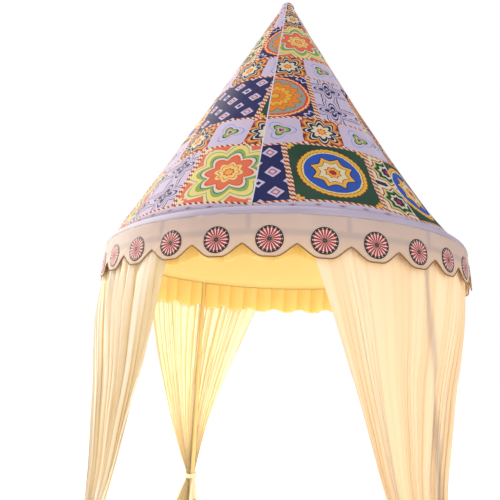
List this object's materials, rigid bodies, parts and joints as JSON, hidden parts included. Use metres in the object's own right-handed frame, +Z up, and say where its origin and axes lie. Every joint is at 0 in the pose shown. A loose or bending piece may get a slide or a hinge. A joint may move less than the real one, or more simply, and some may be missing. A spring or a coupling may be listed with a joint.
{
  "type": "round pavilion tent",
  "caption": "Round pavilion tent with a tall cone roof on posts, a scalloped valance with rosettes, an inner ruffle and door drapes tied to the posts.",
  "frame": {"origin": "on the ground at the tent's centre, level with the undersides of the foot plates", "axes": "+Z up, -Y to the front doorway, +X to the right seen from the front"},
  "size_m": [2.8094, 2.8062, 4.9],
  "materials": {
    "steel_tube": "satin powder coat",
    "roof_cloth": "matt printed polyester",
    "trim_cloth": "matt plain polyester",
    "lining_cloth": "soft satin lining",
    "valance_cloth": "matt cream polyester with printed rosettes and corded hem",
    "ruffle_cloth": "gathered lining cloth",
    "drape_cloth": "thin translucent voile"
  },
  "bodies": {
    "root": {"foot_plate_front_right": "steel_tube", "foot_plate_rear_right": "steel_tube", "foot_plate_rear_left": "steel_tube", "foot_plate_front_left": "steel_tube", "post_front_right": "steel_tube", "post_rear_right": "steel_tube", "post_rear_left": "steel_tube", "post_front_left": "steel_tube", "ring_beam_front": "steel_tube", "ring_beam_right": "steel_tube", "ring_beam_rear": "steel_tube", "ring_beam_left": "steel_tube", "rafter_front_right": "steel_tube", "rafter_rear_right": "steel_tube", "rafter_rear_left": "steel_tube", "rafter_front_left": "steel_tube", "crown_block": "steel_tube", "roof_gore_1": "roof_cloth", "roof_gore_2": "roof_cloth", "roof_gore_3": "roof_cloth", "roof_gore_4": "roof_cloth", "roof_gore_5": "roof_cloth", "roof_gore_6": "roof_cloth", "roof_gore_7": "roof_cloth", "roof_gore_8": "roof_cloth", "peak_cap": "roof_cloth", "eave_trim": "trim_cloth", "ceiling_lining": "lining_cloth", "valance_front": "valance_cloth", "valance_right": "valance_cloth", "valance_rear": "valance_cloth", "valance_left": "valance_cloth", "ruffle_front": "ruffle_cloth", "ruffle_right": "ruffle_cloth", "ruffle_rear": "ruffle_cloth", "ruffle_left": "ruffle_cloth", "drape_front_right": "drape_cloth", "drape_rear_right": "drape_cloth", "drape_rear_left": "drape_cloth", "drape_front_left": "drape_cloth", "tie_front_right": "drape_cloth", "tie_rear_right": "drape_cloth", "tie_rear_left": "drape_cloth", "tie_front_left": "drape_cloth"}
  },
  "joints": []
}
